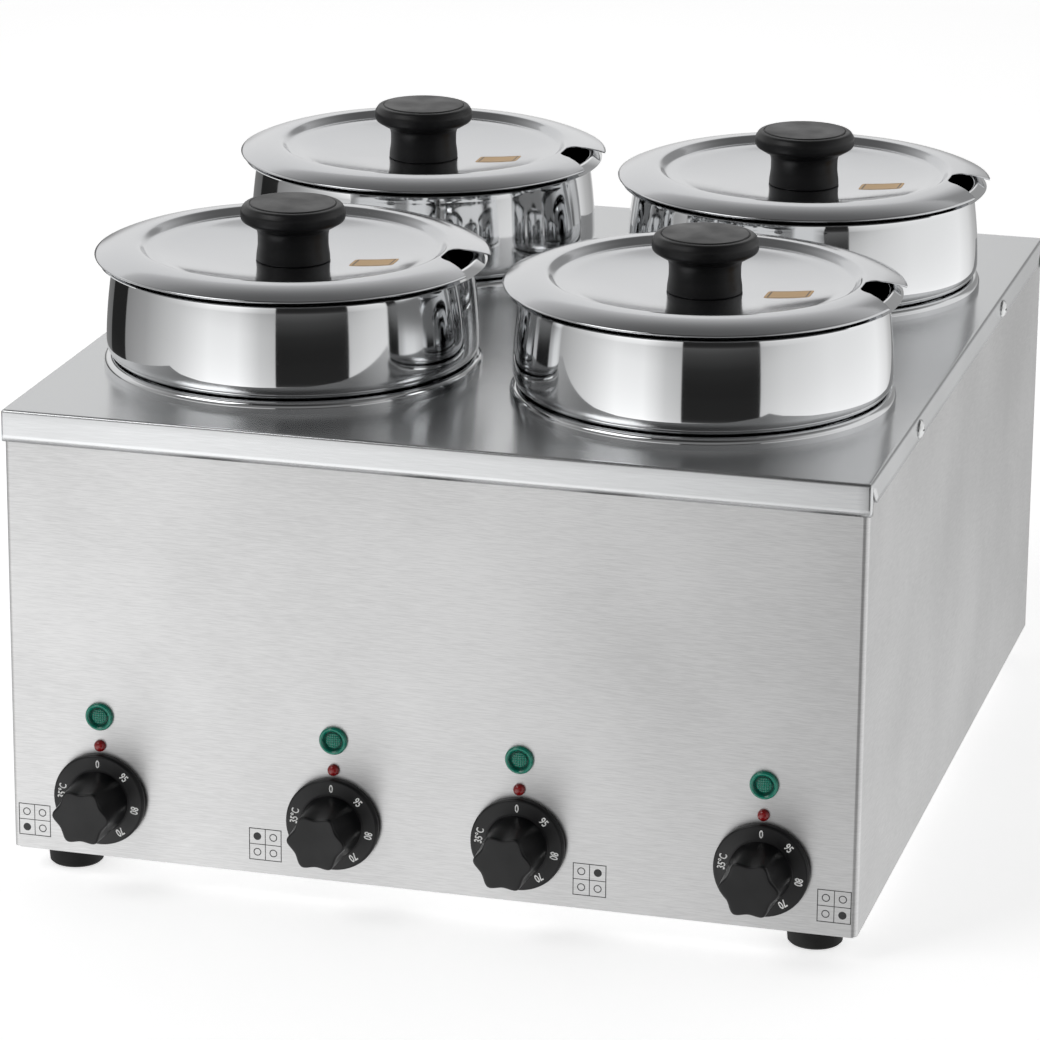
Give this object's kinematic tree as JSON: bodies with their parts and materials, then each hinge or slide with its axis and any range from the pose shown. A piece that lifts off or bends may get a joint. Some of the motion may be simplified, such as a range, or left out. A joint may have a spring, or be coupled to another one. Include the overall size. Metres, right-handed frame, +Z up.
{
  "type": "hot pot food warmer",
  "caption": "Counter-top sheet steel warmer whose deck holds lift-out round pots with notched, knobbed lids, each set by its own dial and lamps.",
  "frame": {"origin": "centre of the bounding box's footprint, on the surface the feet stand on", "axes": "+Z up, +X to the right and +Y to the back, seen from the dials"},
  "size_m": [0.4552, 0.5558, 0.3364],
  "materials": {
    "brushed_deck": "brushed",
    "brushed_casing": "brushed along the front",
    "base_steel": "mill",
    "zinc_screws": "zinc plated",
    "pan_screws": "polished",
    "black_nylon": "satin",
    "white_nylon": "satin",
    "polished_well": "polished",
    "heater_mica": "mica and steel",
    "polished_pot": "mirror polished",
    "polished_lid": "satin polished",
    "black_phenolic": "satin",
    "thermostat_body": "satin",
    "spindle_steel": "turned",
    "black_dial": "satin",
    "green_lens": "translucent",
    "red_lens": "translucent",
    "black_rubber": "matt"
  },
  "bodies": {
    "casing": {"top_deck": "brushed_deck", "casing_wrap": "brushed_casing", "rear_panel": "brushed_casing", "base_plate": "base_steel", "foot_fl": "black_rubber", "foot_fr": "black_rubber", "foot_bl": "black_rubber", "foot_br": "black_rubber", "foot_screws": "zinc_screws", "foot_nuts": "zinc_screws", "casing_screws": "pan_screws", "cable_gland": "black_nylon", "gland_nut": "black_nylon", "terminal_block": "white_nylon", "thermostat_screws": "zinc_screws", "heater_nuts": "zinc_screws", "well_fl": "polished_well", "well_bl": "polished_well", "well_br": "polished_well", "well_fr": "polished_well", "heater_fl": "heater_mica", "heater_bl": "heater_mica", "heater_br": "heater_mica", "heater_fr": "heater_mica", "thermostat_fl": "thermostat_body", "thermostat_bl": "thermostat_body", "thermostat_br": "thermostat_body", "thermostat_fr": "thermostat_body", "green_lamp_fl": "green_lens", "green_lamp_bl": "green_lens", "green_lamp_br": "green_lens", "green_lamp_fr": "green_lens", "red_lamp_fl": "red_lens", "red_lamp_bl": "red_lens", "red_lamp_br": "red_lens", "red_lamp_fr": "red_lens"},
    "pot_fl": {"pot_fl": "polished_pot"},
    "lid_fl": {"lid_fl": "polished_lid", "lid_knob_fl": "black_phenolic", "lid_screw_fl": "zinc_screws"},
    "dial_fl": {"dial_fl": "black_dial", "spindle_fl": "spindle_steel"},
    "pot_bl": {"pot_bl": "polished_pot"},
    "lid_bl": {"lid_bl": "polished_lid", "lid_knob_bl": "black_phenolic", "lid_screw_bl": "zinc_screws"},
    "dial_bl": {"dial_bl": "black_dial", "spindle_bl": "spindle_steel"},
    "pot_br": {"pot_br": "polished_pot"},
    "lid_br": {"lid_br": "polished_lid", "lid_knob_br": "black_phenolic", "lid_screw_br": "zinc_screws"},
    "dial_br": {"dial_br": "black_dial", "spindle_br": "spindle_steel"},
    "pot_fr": {"pot_fr": "polished_pot"},
    "lid_fr": {"lid_fr": "polished_lid", "lid_knob_fr": "black_phenolic", "lid_screw_fr": "zinc_screws"},
    "dial_fr": {"dial_fr": "black_dial", "spindle_fr": "spindle_steel"}
  },
  "joints": [
    {"name": "pot_lift_fl", "type": "slide", "parent": "casing", "child": "pot_fl", "axis": [0, 0, 1], "range_m": [0, 0.24]},
    {"name": "pot_lift_bl", "type": "slide", "parent": "casing", "child": "pot_bl", "axis": [0, 0, 1], "range_m": [0, 0.24]},
    {"name": "pot_lift_br", "type": "slide", "parent": "casing", "child": "pot_br", "axis": [0, 0, 1], "range_m": [0, 0.24]},
    {"name": "pot_lift_fr", "type": "slide", "parent": "casing", "child": "pot_fr", "axis": [0, 0, 1], "range_m": [0, 0.24]},
    {"name": "lid_lift_fl", "type": "slide", "parent": "pot_fl", "child": "lid_fl", "axis": [0, 0, 1], "range_m": [0, 0.14]},
    {"name": "lid_lift_bl", "type": "slide", "parent": "pot_bl", "child": "lid_bl", "axis": [0, 0, 1], "range_m": [0, 0.14]},
    {"name": "lid_lift_br", "type": "slide", "parent": "pot_br", "child": "lid_br", "axis": [0, 0, 1], "range_m": [0, 0.14]},
    {"name": "lid_lift_fr", "type": "slide", "parent": "pot_fr", "child": "lid_fr", "axis": [0, 0, 1], "range_m": [0, 0.14]},
    {"name": "dial_turn_fl", "type": "hinge", "parent": "casing", "child": "dial_fl", "pos_m": [-0.175, -0.2619, 0.0454], "axis": [0, 1, 0], "range_deg": [0, 315]},
    {"name": "dial_turn_bl", "type": "hinge", "parent": "casing", "child": "dial_bl", "pos_m": [-0.049, -0.2619, 0.0454], "axis": [0, 1, 0], "range_deg": [0, 315]},
    {"name": "dial_turn_br", "type": "hinge", "parent": "casing", "child": "dial_br", "pos_m": [0.049, -0.2619, 0.0454], "axis": [0, 1, 0], "range_deg": [0, 315]},
    {"name": "dial_turn_fr", "type": "hinge", "parent": "casing", "child": "dial_fr", "pos_m": [0.175, -0.2619, 0.0454], "axis": [0, 1, 0], "range_deg": [0, 315]}
  ]
}
